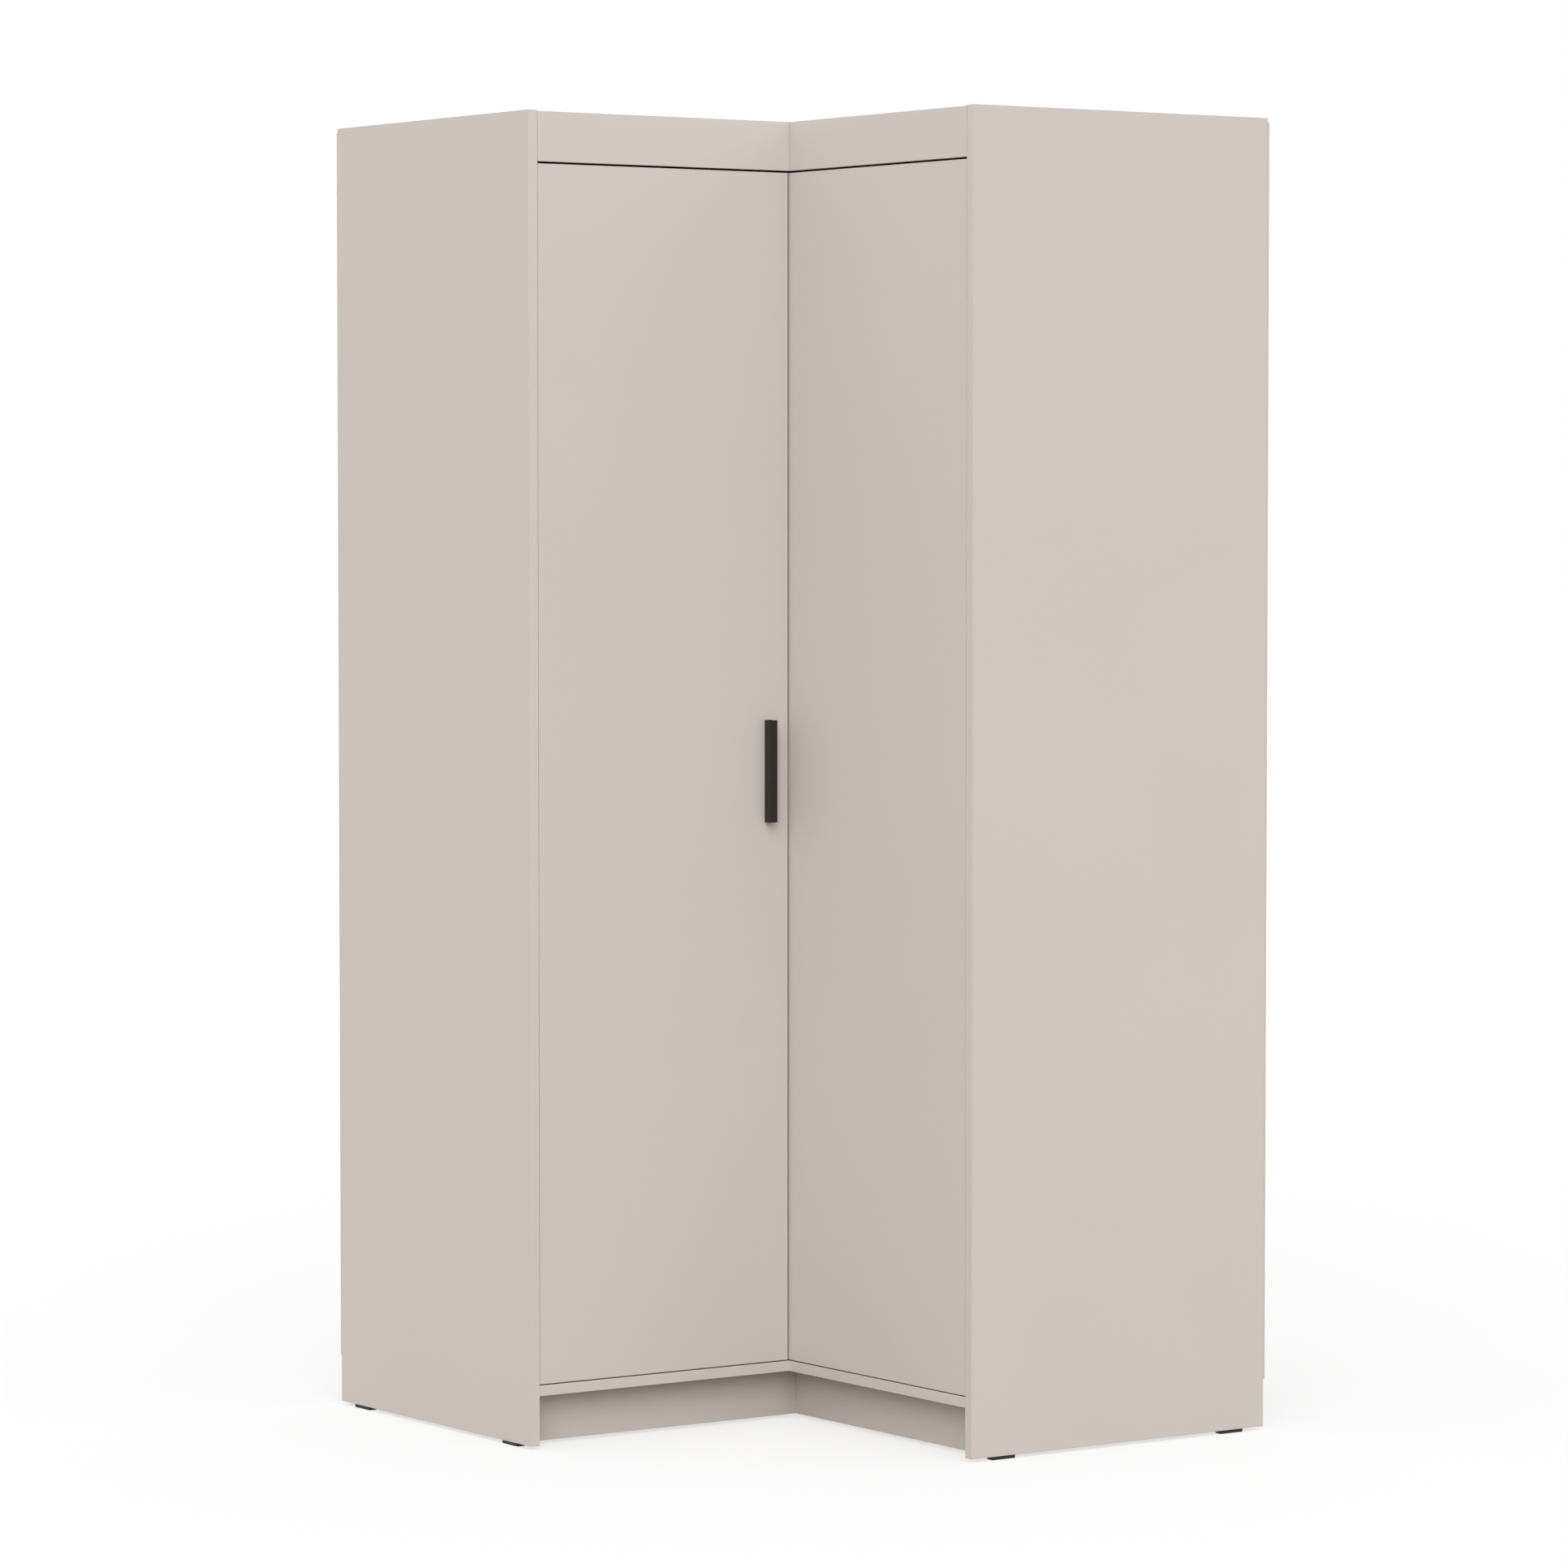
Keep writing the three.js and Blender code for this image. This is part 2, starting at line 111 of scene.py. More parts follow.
# Rounding of edges
BEVEL_SEGMENTS = 2
SHEET_ROUND = 0.2 * MM
GLIDE_ROUND = 0.5 * MM
STRIP_ROUND = 0.2 * MM
FITTING_ROUND = 0.4 * MM
HINGE_ROUND = 0.25 * MM
RAIL_ROUND = 0.25 * MM
HANDLE_ROUND = 0.35 * MM
SAME_PLACE = 0.001 * MM  # corners this near each other are one
SAME_FACE, SMOOTH, SHARP = 1, 35, 50  # degrees: one face up to the first, rounded past the last

# Screws, cam covers and nails: radius and height of the head
HANDLE_SCREW = (4.0, 2.2)
HINGE_SCREW = (3.5, 0.9)
ADJUSTING_SCREW = (2.9, 0.7)
RAIL_SCREW = (3.7, 1.0)
CAM_COVER = (8.5, 1.1)
NAIL_HEAD = (2.2, 0.45)
HEAD_SIDES, NAIL_SIDES, COVER_SIDES = 24, 10, 32
SCREW_CROWN, COVER_CROWN = 0.55, 0.6  # share of a head's height that is rounded off
CROWN_SEGMENTS = 3
CROSS_LENGTH, CROSS_WIDTH, CROSS_DEPTH = 1.25, 0.26, 0.6  # shares of the head's radius, radius and height
SCREW_TURN = 37  # degrees from one screw's cross to the next one's

# Where the screws sit. Rises and offsets are to both sides of the middle.
HANDLE_SCREW_RISE = 64
CUP_SCREW_LINE = 48.5  # along the wing
CUP_SCREW_RISE = 22.5
CUP_FLANGE = 1.5  # its face, from the back of the door
PLATE_SCREW_LINE = 39  # from the back of the door
PLATE_SCREW_RISE = 16
PLATE_BASE = 2.3  # its face, from the side panel
ARM_WEB = 12.5  # its face, from the side panel
ARM_SCREW_LINES = (42, 63)  # from the back of the door
SOCKET_BASE = 2.8  # its face, from the side panel
SOCKET_SCREW_RISE = 24.65
BRACKET_LINE = 654  # along the wing
BRACKET_FLANGE = 3.3  # its face, from the hat shelf
BRACKET_SCREW_OFFSET = 16


def node_group(name, inputs, outputs):
    """An empty shader group with named sockets: label, type and value."""
    group = bpy.data.node_groups.new(name, "ShaderNodeTree")
    for kind, sockets in (("INPUT", inputs), ("OUTPUT", outputs)):
        for label, socket_type, value in sockets:
            socket = group.interface.new_socket(
                name=label, in_out=kind, socket_type=f"NodeSocket{socket_type}"
            )
            if value is not None:
                socket.default_value = value
    return group, group.nodes.new("NodeGroupInput"), group.nodes.new("NodeGroupOutput")


def relief_group(name):
    """A group that turns a place and a grain size into a height and a mask, both 0 to 1."""
    inputs = [("Vector", "Vector", None), ("Scale", "Float", 800.0), ("Contrast", "Float", 1.0)]
    return node_group(name, inputs, [("Height", "Float", None), ("Mask", "Float", None)])


def level_and_put_out(group, given, made, source):
    """Spreads a noise over 0 to 1 and puts it out as the mask and, times the contrast, as the height."""
    spread = group.nodes.new("ShaderNodeMapRange")
    spread.inputs["From Min"].default_value = 0.3
    spread.inputs["From Max"].default_value = 0.7
    scaled = group.nodes.new("ShaderNodeMath")
    scaled.operation = "MULTIPLY"
    link = group.links.new
    link(source, spread.inputs["Value"])
    link(spread.outputs["Result"], scaled.inputs[0])
    link(given.outputs["Contrast"], scaled.inputs[1])
    link(scaled.outputs["Value"], made.inputs["Height"])
    link(spread.outputs["Result"], made.inputs["Mask"])


def make_stipple():
    """Fine raised grain of a pressed, moulded or plated surface."""
    group, given, made = relief_group("stipple")
    grain = group.nodes.new("ShaderNodeTexNoise")
    grain.inputs["Detail"].default_value = 4.0
    grain.inputs["Roughness"].default_value = 0.6
    group.links.new(given.outputs["Vector"], grain.inputs["Vector"])
    group.links.new(given.outputs["Scale"], grain.inputs["Scale"])
    level_and_put_out(group, given, made, grain.outputs["Fac"])
    return group


def make_fibres():
    """Short fibres that lie upright and level in a pressed sheet."""
    group, given, made = relief_group("fibres")
    link = group.links.new
    crossed = group.nodes.new("ShaderNodeMath")
    crossed.operation = "MAXIMUM"
    for index, stretch in enumerate(((1.0, 1.0, 0.12), (0.16, 0.16, 1.0))):
        drawn = group.nodes.new("ShaderNodeVectorMath")
        drawn.operation = "MULTIPLY"
        drawn.inputs[1].default_value = stretch
        fibre = group.nodes.new("ShaderNodeTexNoise")
        fibre.inputs["Detail"].default_value = 6.0
        fibre.inputs["Roughness"].default_value = 0.7
        link(given.outputs["Vector"], drawn.inputs[0])
        link(drawn.outputs["Vector"], fibre.inputs["Vector"])
        link(given.outputs["Scale"], fibre.inputs["Scale"])
        link(fibre.outputs["Fac"], crossed.inputs[index])
    level_and_put_out(group, given, made, crossed.outputs["Value"])
    return group


def make_chips():
    """The cut chips of a raw board edge: each has its own tone, and the joints between them are low."""
    group, given, made = relief_group("wood_chips")
    link = group.links.new
    chips = group.nodes.new("ShaderNodeTexVoronoi")
    tone = group.nodes.new("ShaderNodeSeparateColor")
    scaled = group.nodes.new("ShaderNodeMath")
    scaled.operation = "MULTIPLY"
    link(given.outputs["Vector"], chips.inputs["Vector"])
    link(given.outputs["Scale"], chips.inputs["Scale"])
    link(chips.outputs["Color"], tone.inputs["Color"])
    link(chips.outputs["Distance"], scaled.inputs[0])
    link(given.outputs["Contrast"], scaled.inputs[1])
    link(scaled.outputs["Value"], made.inputs["Height"])
    link(tone.outputs["Red"], made.inputs["Mask"])
    return group


def make_drift():
    """A slow change between two colours over a surface."""
    inputs = [
        ("Vector", "Vector", None),
        ("Scale", "Float", 3.0),
        ("First", "Color", None),
        ("Second", "Color", None),
    ]
    group, given, made = node_group("tone_drift", inputs, [("Color", "Color", None)])
    cloud = group.nodes.new("ShaderNodeTexNoise")
    cloud.inputs["Detail"].default_value = 2.0
    mix = group.nodes.new("ShaderNodeMix")
    mix.data_type = "RGBA"
    link = group.links.new
    link(given.outputs["Vector"], cloud.inputs["Vector"])
    link(given.outputs["Scale"], cloud.inputs["Scale"])
    link(cloud.outputs["Fac"], mix.inputs["Factor"])
    link(given.outputs["First"], mix.inputs["A"])
    link(given.outputs["Second"], mix.inputs["B"])
    link(mix.outputs["Result"], made.inputs["Color"])
    return group


STIPPLE, FIBRES, CHIPS, DRIFT = make_stipple(), make_fibres(), make_chips(), make_drift()


def linear(red, green, blue):
    """A colour given as 0 to 255 in sRGB, as linear RGBA."""
    def one(value):
        value /= 255
        return value / 12.92 if value <= 0.04045 else ((value + 0.055) / 1.055) ** 2.4
    return (one(red), one(green), one(blue), 1.0)


def finish(name, tones, drift, relief, grain, rough, bump, fleck=None, **fixed):
    """A material whose colour drifts between two tones, with a relief in its roughness and normals.

    drift and grain are scales, rough is (smoothest, dullest), bump is a depth in metres, and fleck is
    the colour of the relief's own marks.
    """
    material = bpy.data.materials.new(name)
    material.use_nodes = True
    nodes, link = material.node_tree.nodes, material.node_tree.links.new
    skin = nodes["Principled BSDF"]
    place = nodes.new("ShaderNodeTexCoord")
    tone = nodes.new("ShaderNodeGroup")
    tone.node_tree = DRIFT
    tone.inputs["Scale"].default_value = drift
    tone.inputs["First"].default_value = linear(*tones[0])
    tone.inputs["Second"].default_value = linear(*tones[1])
    marks = nodes.new("ShaderNodeGroup")
    marks.node_tree = relief
    marks.inputs["Scale"].default_value = grain
    sheen = nodes.new("ShaderNodeMapRange")
    sheen.inputs["To Min"].default_value, sheen.inputs["To Max"].default_value = rough
    raised = nodes.new("ShaderNodeBump")
    raised.inputs["Strength"].default_value = 1.0
    raised.inputs["Distance"].default_value = bump
    link(place.outputs["Object"], tone.inputs["Vector"])
    link(place.outputs["Object"], marks.inputs["Vector"])
    link(marks.outputs["Mask"], sheen.inputs["Value"])
    link(sheen.outputs["Result"], skin.inputs["Roughness"])
    link(marks.outputs["Height"], raised.inputs["Height"])
    link(raised.outputs["Normal"], skin.inputs["Normal"])
    if fleck is None:
        link(tone.outputs["Color"], skin.inputs["Base Color"])
    else:
        flecked = nodes.new("ShaderNodeMix")
        flecked.data_type = "RGBA"
        flecked.inputs["B"].default_value = linear(*fleck)
        link(marks.outputs["Mask"], flecked.inputs["Factor"])
        link(tone.outputs["Color"], flecked.inputs["A"])
        link(flecked.outputs["Result"], skin.inputs["Base Color"])
    for label, value in fixed.items():
        skin.inputs[label.replace("_", " ")].default_value = value
    return material


laminate = finish(
    "beige_laminate", ((210, 203, 198), (206, 199, 195)), 2.5, STIPPLE, 900, (0.42, 0.52), 0.02 * MM,
    Specular_IOR_Level=0.35,
)
tape = finish(
    "beige_edge_tape", ((211, 204, 199), (207, 200, 196)), 4.0, STIPPLE, 500, (0.34, 0.40), 0.01 * MM,
    Specular_IOR_Level=0.35,
)
glue = finish(
    "edge_glue_line", ((190, 178, 168), (184, 171, 161)), 60, STIPPLE, 900, (0.5, 0.6), 0.01 * MM
)
chipboard = finish(
    "raw_chipboard", ((204, 174, 132), (186, 152, 110)), 60, CHIPS, 620, (0.8, 0.95), 0.25 * MM,
    fleck=(134, 98, 64),
)
painted_board = finish(
    "painted_hardboard", ((208, 199, 192), (203, 194, 187)), 6, FIBRES, 700, (0.5, 0.62), 0.02 * MM
)
brown_board = finish(
    "brown_hardboard", ((156, 118, 84), (142, 105, 72)), 14, FIBRES, 420, (0.72, 0.9), 0.08 * MM,
    fleck=(120, 86, 58),
)
black_metal = finish(
    "black_handle_metal", ((42, 40, 37), (38, 36, 33)), 30, STIPPLE, 1600, (0.42, 0.52), 0.02 * MM,
    Specular_IOR_Level=0.3,
)
nickel = finish(
    "nickel_plate", ((204, 202, 197), (194, 191, 185)), 25, STIPPLE, 600, (0.26, 0.32), 0.0004 * MM,
    Metallic=1.0,
)
zinc = finish(
    "zinc_screw_head", ((206, 207, 206), (190, 191, 193)), 200, STIPPLE, 1500, (0.28, 0.38), 0.0008 * MM,
    Metallic=1.0,
)
chrome = finish(
    "polished_chrome", ((222, 223, 226), (214, 215, 219)), 12, STIPPLE, 700, (0.10, 0.14), 0.0002 * MM,
    Metallic=1.0,
)
black_plastic = finish(
    "black_glide_plastic", ((8, 8, 9), (5, 5, 6)), 40, STIPPLE, 1500, (0.5, 0.65), 0.03 * MM
)
pale_plastic = finish(
    "pale_plastic", ((222, 214, 205), (215, 206, 196)), 12, STIPPLE, 1100, (0.35, 0.45), 0.01 * MM
)


def only(piece):
    """Makes piece the one selected and active object."""
    bpy.ops.object.select_all(action="DESELECT")
    piece.select_set(True)
    bpy.context.view_layer.objects.active = piece


def copy_of(node, name):
    """The CAD node's shape as a new piece, its triangles merged into whole faces."""
    only(frame["nodes"][node])
    bpy.ops.object.duplicate()
    piece = bpy.context.object
    piece.name = name
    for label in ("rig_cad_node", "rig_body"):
        del piece[label]
    bpy.ops.object.mode_set(mode="EDIT")
    bpy.ops.mesh.select_all(action="SELECT")
    bpy.ops.mesh.remove_doubles(threshold=SAME_PLACE)
    bpy.ops.mesh.dissolve_limited(angle_limit=math.radians(SAME_FACE))
    bpy.ops.object.mode_set(mode="OBJECT")
    return piece


def smooth(piece):
    """Rounds shade as round, and flat faces stay flat."""
    only(piece)
    bpy.ops.object.shade_smooth_by_angle(angle=math.radians(SMOOTH))
    flat = piece.modifiers.new("flat_faces", "WEIGHTED_NORMAL")
    flat.keep_sharp = True
    bpy.ops.object.modifier_apply(modifier=flat.name)


def round_edges(piece, radius):
    only(piece)
    bevel = piece.modifiers.new("rounding", "BEVEL")
    bevel.width = radius
    bevel.segments = BEVEL_SEGMENTS
    bevel.limit_method = "ANGLE"
    bevel.angle_limit = math.radians(SHARP)
    bpy.ops.object.modifier_apply(modifier=bevel.name)
    smooth(piece)


def dress(piece, materials):
    piece.data.materials.clear()
    for material in materials:
        piece.data.materials.append(material)


def stand_for(piece, node):
    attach(piece, body_of_node[node])
    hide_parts(node)


body_of_node = {
    node: body for body, nodes in frame["record"]["behaviour"]["bodies"].items() for node in nodes
}

# The edges of each board that have tape: axis and direction in the wing.
FRONT, SIDE, CORNER, TOP, BOTTOM = (ACROSS, -1), (ALONG, -1), (ALONG, 1), (UP, 1), (UP, -1)
TAPED_EDGES = {
    "side_panel": (FRONT, TOP, BOTTOM),
    "fascia": (TOP, BOTTOM),
    "plinth": (BOTTOM,),
    "top_board": (),
    "bottom_board": (FRONT,),
    "hat_shelf": (FRONT,),
    "corner_post": (SIDE,),
    "door_panel": (SIDE, CORNER, TOP, BOTTOM),
}


def wing_axis(side, axis):
    """The scene's axis for an axis of a wing."""
    return axis if side == "left" or axis == UP else 1 - axis


def wing_way(side, x, y, z):
    """A direction in a wing's plan as a direction in the scene."""
    return Vector((x, y, z) if side == "left" else (y, x, z))


def wing_place(side, x, y, z):
    """A place in a wing's plan, in millimetres, as a place in the scene."""
    return wing_way(side, x * MM - HALF_SPAN, y * MM - HALF_SPAN, z * MM)


def add_board(side, kind):
    node = f"{side}_{kind}"
    low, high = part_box(node)
    board = copy_of(node, f"{node}_board")
    size = high - low
    thick = min(range(3), key=lambda axis: size[axis])
    lines = []  # (axis, direction, place of the outer face)
    for axis, direction in TAPED_EDGES[kind]:
        axis = wing_axis(side, axis)
        lines.append((axis, direction, (high if direction > 0 else low)[axis]))
    only(board)
    bpy.ops.object.mode_set(mode="EDIT")
    for axis, direction, outer in lines:
        for depth in (TAPE, TAPE + GLUE_LINE):
            point, normal = Vector((0, 0, 0)), Vector((0, 0, 0))
            point[axis] = outer - direction * depth
            normal[axis] = 1
            bpy.ops.mesh.select_all(action="SELECT")
            bpy.ops.mesh.bisect(plane_co=point, plane_no=normal)
    bpy.ops.object.mode_set(mode="OBJECT")
    dress(board, (laminate, tape, glue, chipboard))
    for face in board.data.polygons:
        depth = min((abs(outer - face.center[axis]) for axis, _, outer in lines), default=1)
        if depth < TAPE:
            face.material_index = TAPED
        elif depth < TAPE + GLUE_LINE:
            face.material_index = GLUED
        else:
            face.material_index = FACE if abs(face.normal[thick]) > 0.5 else RAW
    round_edges(board, BOARD_ROUND)
    stand_for(board, node)


def add_hardware(node, radius, material):
    piece = copy_of(node, f"{node}_made")
    dress(piece, (material,))
    round_edges(piece, radius)
    stand_for(piece, node)


def add_back_sheet(side, kind):
    """Hardboard, painted on its room side and where it shows at the side, and raw brown elsewhere."""
    node = f"{side}_back_{kind}_sheet"
    sheet = copy_of(node, f"{node}_board")
    dress(sheet, (painted_board, brown_board))
    painted = [wing_way(side, 0, -1, 0)] + ([wing_way(side, -1, 0, 0)] if kind == "outer" else [])
    for face in sheet.data.polygons:
        face.material_index = 0 if any(face.normal.dot(way) > 0.5 for way in painted) else 1
    round_edges(sheet, SHEET_ROUND)
    stand_for(sheet, node)


# The hanging rail
RAIL_START, RAIL_END = (corner.x for corner in plan_box("hanging_rail"))
RAIL_HEIGHT, RAIL_WIDTH, RAIL_WALL = 30, 15, 1.2
RAIL_SIDES = 48


def make_rail():
    """The left wing's oval tube, drawn along from its end at the socket."""
    start = wing_place("left", RAIL_START, RAIL_LINE, RAIL_LEVEL)
    stretch = (RAIL_HEIGHT - RAIL_WIDTH) / 2 * MM
    bpy.ops.object.select_all(action="DESELECT")
    bpy.ops.mesh.primitive_circle_add(
        vertices=RAIL_SIDES, radius=RAIL_WIDTH / 2 * MM, location=start, rotation=(0, math.pi / 2, 0)
    )
    rail = bpy.context.object
    bpy.ops.object.transform_apply()
    for direction in (-1, 1):
        for vertex in rail.data.vertices:
            vertex.select = direction * (vertex.co.z - start.z) > SAME_PLACE
        bpy.ops.object.mode_set(mode="EDIT")
        bpy.ops.mesh.select_mode(type="VERT")
        bpy.ops.transform.translate(value=(0, 0, direction * stretch))
        bpy.ops.mesh.select_all(action="DESELECT")
        bpy.ops.object.mode_set(mode="OBJECT")
    bpy.ops.object.mode_set(mode="EDIT")
    bpy.ops.mesh.select_all(action="SELECT")
    bpy.ops.mesh.extrude_region_move(
        TRANSFORM_OT_translate={"value": ((RAIL_END - RAIL_START) * MM, 0, 0)}
    )
    bpy.ops.mesh.select_all(action="SELECT")
    bpy.ops.mesh.normals_make_consistent(inside=False)
    bpy.ops.object.mode_set(mode="OBJECT")
    wall = rail.modifiers.new("wall", "SOLIDIFY")
    wall.thickness = RAIL_WALL * MM
    wall.offset = -1
    bpy.ops.object.modifier_apply(modifier=wall.name)
    return rail


def add_rails():
    left = make_rail()
    only(left)
    bpy.ops.object.duplicate()
    right = bpy.context.object
    right.data.transform(SWAP_X_AND_Y)
    bpy.ops.object.mode_set(mode="EDIT")
    bpy.ops.mesh.select_all(action="SELECT")
    bpy.ops.mesh.flip_normals()
    bpy.ops.object.mode_set(mode="OBJECT")
    for side, rail in zip(SIDES, (left, right)):
        rail.name = f"{side}_hanging_rail_tube"
        dress(rail, (chrome,))
        round_edges(rail, RAIL_ROUND)
        stand_for(rail, f"{side}_hanging_rail")


def make_head(radius, height, sides, crown):
    """A round head that stands on the origin. Crown is the share of its height that is rounded off."""
    bpy.ops.object.select_all(action="DESELECT")
    bpy.ops.mesh.primitive_cylinder_add(
        vertices=sides, radius=radius * MM, depth=height * MM, location=(0, 0, height / 2 * MM)
    )
    head = bpy.context.object
    bpy.ops.object.transform_apply()
    for edge in head.data.edges:
        edge.select = all(head.data.vertices[index].co.z > height / 2 * MM for index in edge.vertices)
    bpy.ops.object.mode_set(mode="EDIT")
    bpy.ops.mesh.select_mode(type="EDGE")
    bpy.ops.mesh.bevel(offset=crown * height * MM, segments=CROWN_SEGMENTS)
    bpy.ops.object.mode_set(mode="OBJECT")
    return head


def cut_cross(head, radius, height):
    """Sinks a cross for the driver into the head's top."""
    arm, bar, deep = CROSS_LENGTH * radius * MM, CROSS_WIDTH * radius * MM, CROSS_DEPTH * height * MM
    for length, width in ((arm, bar), (bar, arm)):
        bpy.ops.object.select_all(action="DESELECT")
        bpy.ops.mesh.primitive_cube_add(
            size=1, location=(0, 0, height * MM), scale=(length, width, 2 * deep)
        )
        cutter = bpy.context.object
        only(head)
        sink = head.modifiers.new("cross", "BOOLEAN")
        sink.operation = "DIFFERENCE"
        sink.solver = "EXACT"
        sink.object = cutter
        bpy.ops.object.modifier_apply(modifier=sink.name)
        bpy.data.objects.remove(cutter)


def make_screw(size):
    head = make_head(*size, HEAD_SIDES, SCREW_CROWN)
    cut_cross(head, *size)
    smooth(head)
    return head


def set_in(head, name, side, spots, way, body, material):
    """Copies of one head at each spot of a wing's plan, joined as one piece. Their tops point the way."""
    upright = wing_way(side, *way).to_track_quat("Z", "Y")
    copies = []
    for number, spot in enumerate(spots):
        only(head)
        bpy.ops.object.duplicate()
        copy = bpy.context.object
        twist = Quaternion((0, 0, 1), math.radians(SCREW_TURN * number))
        copy.location = wing_place(side, *spot)
        copy.rotation_euler = (upright @ twist).to_euler()
        copies.append(copy)
    for copy in copies:
        copy.select_set(True)
    if len(copies) > 1:
        bpy.ops.object.join()
    piece = bpy.context.object
    bpy.ops.object.transform_apply()
    piece.name = name
    dress(piece, (material,))
    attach(piece, body)


def set_screws(head, name, side, spots, way, body="carcase"):
    set_in(head, name, side, spots, way, body, zinc)


def add_hinge_screws(head, adjusting_head, side):
    """Two screws in a cup's ears, two in a plate's ears and two that set and hold the arm."""
    cup_face, plate_line = DOOR_BACK + CUP_FLANGE, DOOR_BACK + PLATE_SCREW_LINE
    plate_face, arm_face = PANEL_FACE + PLATE_BASE, PANEL_FACE + ARM_WEB
    for number, level in enumerate(HINGE_LEVELS, 1):
        hinge = f"{side}_hinge_{number}"
        cup_spots = [(CUP_SCREW_LINE, cup_face, level + sign * CUP_SCREW_RISE) for sign in (-1, 1)]
        plate_spots = [(plate_face, plate_line, level + sign * PLATE_SCREW_RISE) for sign in (-1, 1)]
        arm_spots = [(arm_face, DOOR_BACK + line, level) for line in ARM_SCREW_LINES]
        set_screws(head, f"{hinge}_cup_screws", side, cup_spots, (0, 1, 0), f"{side}_door")
        set_screws(head, f"{hinge}_plate_screws", side, plate_spots, (1, 0, 0))
        set_screws(adjusting_head, f"{hinge}_arm_screws", side, arm_spots, (1, 0, 0))


def add_rail_screws(head, side):
    socket_face, bracket_face = PANEL_FACE + SOCKET_BASE, HAT_SHELF_UNDER - BRACKET_FLANGE
    socket_spots, bracket_spots = [], []
    for sign in (-1, 1):
        socket_spots.append((socket_face, RAIL_LINE, RAIL_LEVEL + sign * SOCKET_SCREW_RISE))
        bracket_spots.append((BRACKET_LINE, RAIL_LINE + sign * BRACKET_SCREW_OFFSET, bracket_face))
    set_screws(head, f"{side}_socket_screws", side, socket_spots, (1, 0, 0))
    set_screws(head, f"{side}_bracket_screws", side, bracket_spots, (0, 0, -1))


def add_handle_screws(head):
    levels = [HANDLE_LEVEL + sign * HANDLE_SCREW_RISE for sign in (-1, 1)]
    spots = [(HANDLE_LINE, DOOR_BACK, level) for level in levels]
    set_screws(head, "left_door_handle_screws", "left", spots, (0, 1, 0), "left_door")


CAM_ROWS = (571, 975)  # across the wing
CAM_FROM_END = 34  # from the end of the board


def add_cam_covers(head, side):
    """Caps over the cam fittings under the top board and the hat shelf, where they meet another board."""
    for board, under in (("top_board", TOP_BOARD_UNDER), ("hat_shelf", HAT_SHELF_UNDER)):
        columns = [PANEL_FACE + CAM_FROM_END]
        if side == "right":  # this board meets the left wing's board too
            columns.append(plan_box(board, side)[1].y - CAM_FROM_END)
        spots = [(x, y, under) for x in columns for y in CAM_ROWS]
        name = f"{side}_{board}_cam_covers"
        set_in(head, name, side, spots, (0, 0, -1), "carcase", pale_plastic)


NAIL_STEP = 120
SHEET_SPANS = {"outer": (8, 508), "corner": (527, 1027)}  # the first and last column of nails


def add_nails(head, side, kind):
    """Nails along a back sheet's free upright edge and into the bottom board, hat shelf and top board."""
    start, end = SHEET_SPANS[kind]
    edge = start if kind == "outer" else end
    steps = round((end - start) / NAIL_STEP)
    spots = [
        (start + (end - start) * step / steps, BACK_OUTER, level)
        for level in BOARD_MIDDLES
        for step in range(steps + 1)
    ]
    for low, high in zip(BOARD_MIDDLES, BOARD_MIDDLES[1:]):
        steps = round((high - low) / NAIL_STEP)
        spots += [(edge, BACK_OUTER, low + (high - low) * step / steps) for step in range(1, steps)]
    name = f"{side}_back_{kind}_sheet_nails"
    set_screws(head, name, side, spots, (0, 1, 0))


def add_fasteners():
    hinge_screw, adjusting_screw = make_screw(HINGE_SCREW), make_screw(ADJUSTING_SCREW)
    rail_screw, handle_screw = make_screw(RAIL_SCREW), make_screw(HANDLE_SCREW)
    cover = make_head(*CAM_COVER, COVER_SIDES, COVER_CROWN)
    nail = make_head(*NAIL_HEAD, NAIL_SIDES, COVER_CROWN)
    for head in (cover, nail):
        smooth(head)
    for side in SIDES:
        add_hinge_screws(hinge_screw, adjusting_screw, side)
        add_rail_screws(rail_screw, side)
        add_cam_covers(cover, side)
        for kind in SHEET_SPANS:
            add_nails(nail, side, kind)
    add_handle_screws(handle_screw)
    for head in (hinge_screw, adjusting_screw, rail_screw, handle_screw, cover, nail):
        bpy.data.objects.remove(head)


for side in SIDES:
    for kind in TAPED_EDGES:
        add_board(side, kind)
    for kind in SHEET_SPANS:
        add_back_sheet(side, kind)
    for glide in ("front", "rear", "corner"):
        add_hardware(f"{side}_{glide}_glide", GLIDE_ROUND, black_plastic)
    add_hardware(f"{side}_back_joint_strip", STRIP_ROUND, pale_plastic)
    add_hardware(f"{side}_rail_socket", FITTING_ROUND, chrome)
    add_hardware(f"{side}_rail_bracket", FITTING_ROUND, chrome)
    for number in range(1, len(HINGE_LEVELS) + 1):
        for part in ("cup", "arm", "plate"):
            add_hardware(f"{side}_hinge_{number}_{part}", HINGE_ROUND, nickel)
add_hardware("left_door_handle", HANDLE_ROUND, black_metal)
add_rails()
add_fasteners()


# The studio
FLOOR_SIZE = 80.0
FLOOR_PAINT = (0.25, 0.25, 0.25, 1)  # takes the wardrobe's shadow
FLOOR_GLOW = 0.694  # lifts the lit floor to white
FLOOR_BOUNCE = (0.27, 0.21, 0.155, 1)
DOME_LEVEL = 1.03
LIGHT_SOURCE, LIGHT_STRENGTH, LIGHT_SPREAD = (-3.8, -5.1, 4.3), 1.38, 50  # the spread in degrees
CAMERA_PLACE = (-5.2648, -7.5412, 1.4271)
CAMERA_DIP, CAMERA_HEADING = 2.715, 55.200  # degrees below level, and from +X towards +Y
CAMERA_LENS, CAMERA_SENSOR, CAMERA_REACH = 135.717, 36.0, 200.0


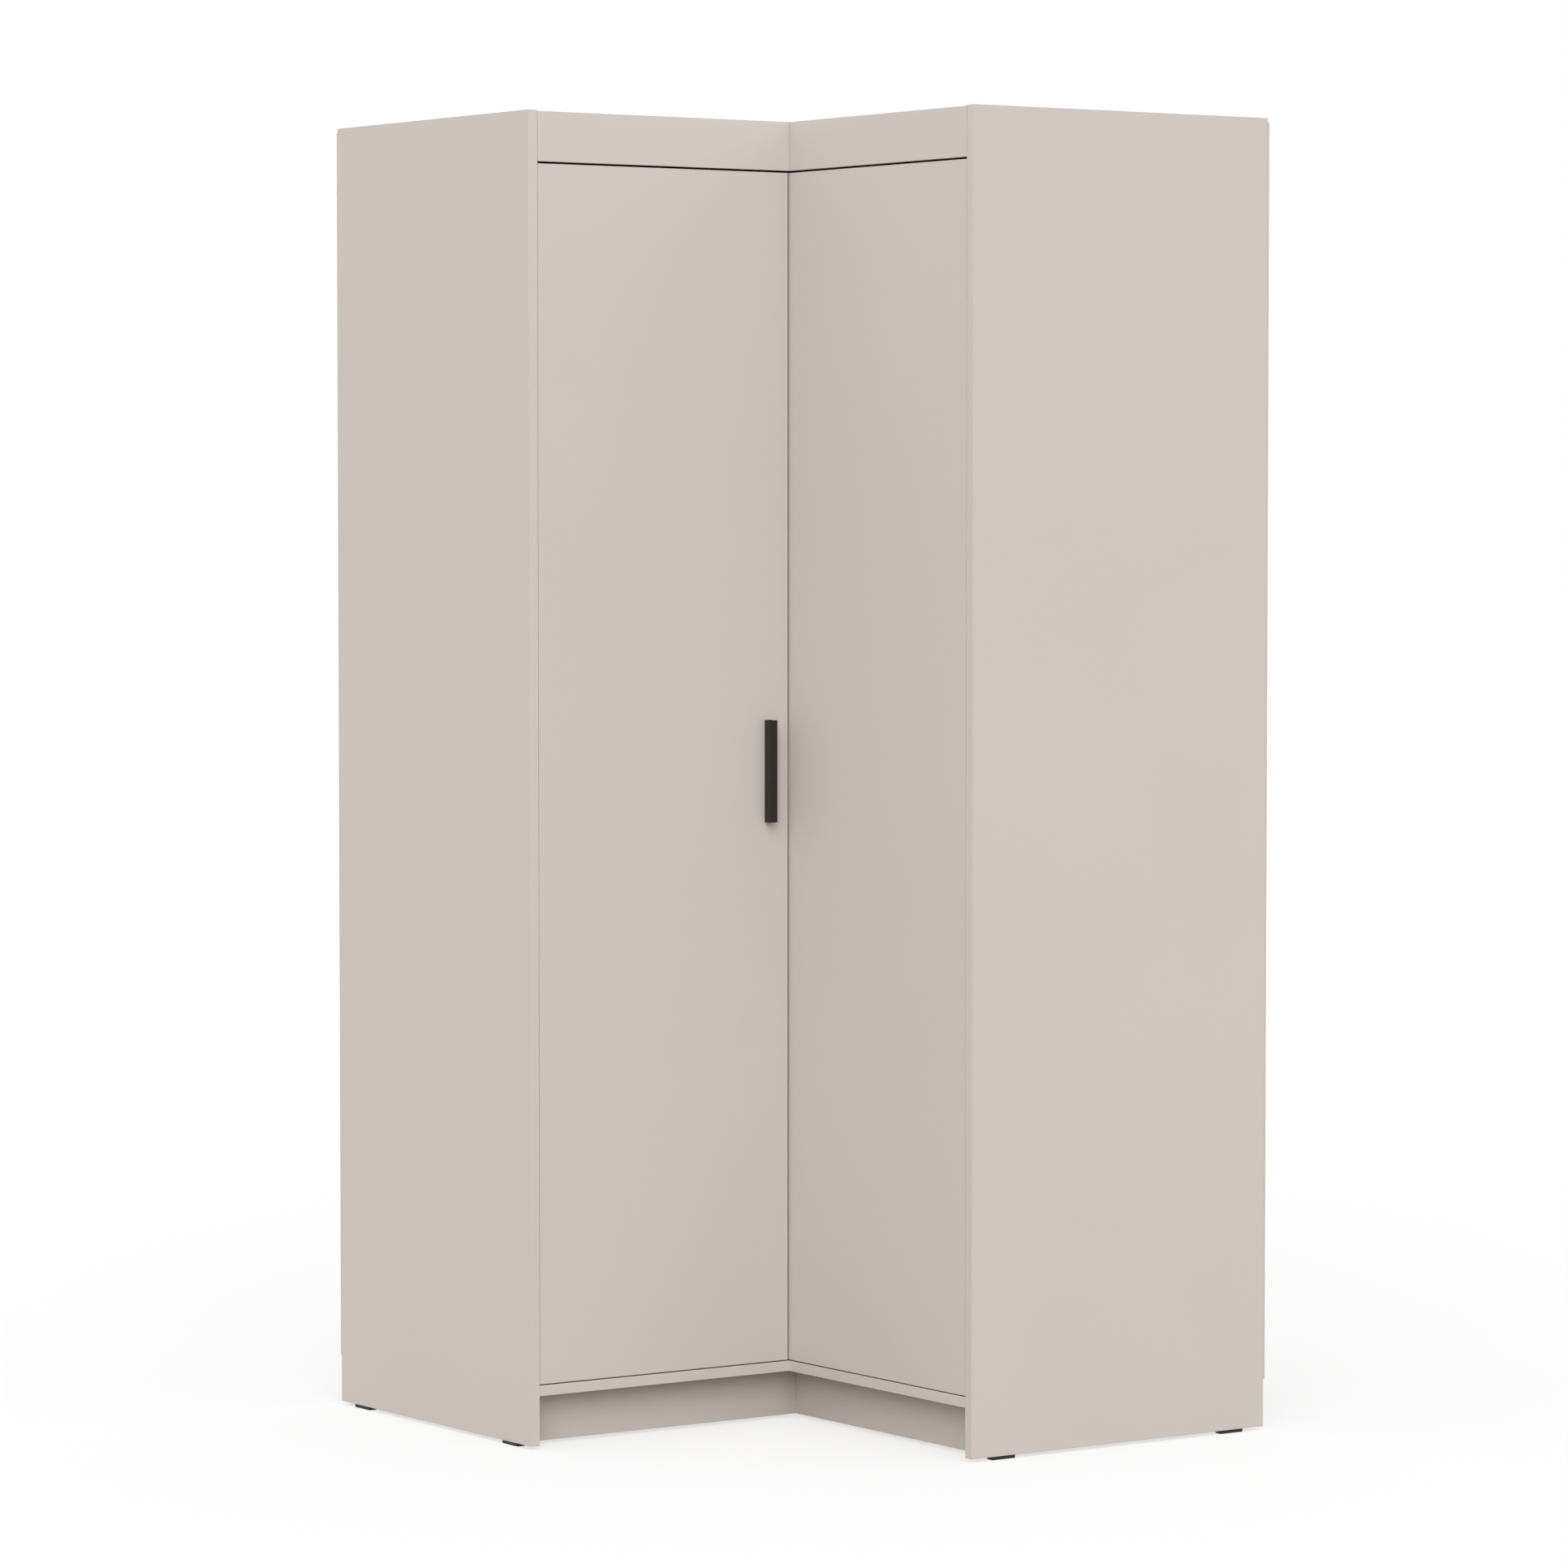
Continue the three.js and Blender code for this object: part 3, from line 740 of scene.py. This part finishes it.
def seen_or_mirrored(nodes, link):
    """1 where a surface is seen, straight or in gloss or through glass, and 0 where it only gives light."""
    path = nodes.new("ShaderNodeLightPath")
    either = path.outputs["Is Camera Ray"]
    for ray in ("Is Glossy Ray", "Is Transmission Ray"):
        wider = nodes.new("ShaderNodeMath")
        wider.operation = "MAXIMUM"
        link(either, wider.inputs[0])
        link(path.outputs[ray], wider.inputs[1])
        either = wider.outputs["Value"]
    return either


def add_floor():
    """Where it is seen it is white with the wardrobe's shadow; as a source of light it is pale and warm."""
    bpy.ops.object.select_all(action="DESELECT")
    bpy.ops.mesh.primitive_plane_add(size=FLOOR_SIZE)
    floor = bpy.context.object
    floor.name = "floor"
    material = bpy.data.materials.new("pale_floor")
    material.use_nodes = True
    nodes, link = material.node_tree.nodes, material.node_tree.links.new
    nodes.clear()
    paint = nodes.new("ShaderNodeBsdfDiffuse")
    paint.inputs["Color"].default_value = FLOOR_PAINT
    glow = nodes.new("ShaderNodeEmission")
    glow.inputs["Strength"].default_value = FLOOR_GLOW
    seen = nodes.new("ShaderNodeAddShader")
    dull = nodes.new("ShaderNodeBsdfDiffuse")
    dull.inputs["Color"].default_value = FLOOR_BOUNCE
    surface = nodes.new("ShaderNodeMixShader")
    out = nodes.new("ShaderNodeOutputMaterial")
    link(paint.outputs["BSDF"], seen.inputs[0])
    link(glow.outputs["Emission"], seen.inputs[1])
    link(seen_or_mirrored(nodes, link), surface.inputs["Fac"])
    link(dull.outputs["BSDF"], surface.inputs[1])
    link(seen.outputs["Shader"], surface.inputs[2])
    link(surface.outputs["Shader"], out.inputs["Surface"])
    floor.data.materials.append(material)


def add_world():
    """An even white dome, at the level of plain white wherever it is seen or mirrored."""
    world = bpy.data.worlds.new("studio")
    bpy.context.scene.world = world
    world.use_nodes = True
    nodes, link = world.node_tree.nodes, world.node_tree.links.new
    sky = nodes["Background"]
    sky.inputs["Color"].default_value = (1, 1, 1, 1)
    level = nodes.new("ShaderNodeMapRange")
    level.inputs["To Min"].default_value = DOME_LEVEL
    level.inputs["To Max"].default_value = 1.0
    link(seen_or_mirrored(nodes, link), level.inputs["Value"])
    link(level.outputs["Result"], sky.inputs["Strength"])


def add_soft_light():
    """A broad, distant light from the front."""
    lamp = bpy.data.lights.new("front_light", "SUN")
    lamp.energy, lamp.angle = LIGHT_STRENGTH, math.radians(LIGHT_SPREAD)
    light = bpy.data.objects.new("front_light", lamp)
    bpy.context.scene.collection.objects.link(light)
    light.location = LIGHT_SOURCE
    light.visible_glossy = False  # no glare on the top boards, seen from behind
    light.rotation_euler = (-Vector(LIGHT_SOURCE)).to_track_quat("-Z", "Y").to_euler()


def add_camera():
    lens = bpy.data.cameras.new("camera")
    lens.lens, lens.sensor_width, lens.clip_end = CAMERA_LENS, CAMERA_SENSOR, CAMERA_REACH
    camera = bpy.data.objects.new("camera", lens)
    bpy.context.scene.collection.objects.link(camera)
    camera.location = CAMERA_PLACE
    camera.rotation_euler = (math.radians(90 - CAMERA_DIP), 0, math.radians(CAMERA_HEADING - 90))
    bpy.context.scene.camera = camera


add_floor()
add_world()
add_soft_light()
add_camera()
bpy.context.scene.view_settings.view_transform = "Standard"
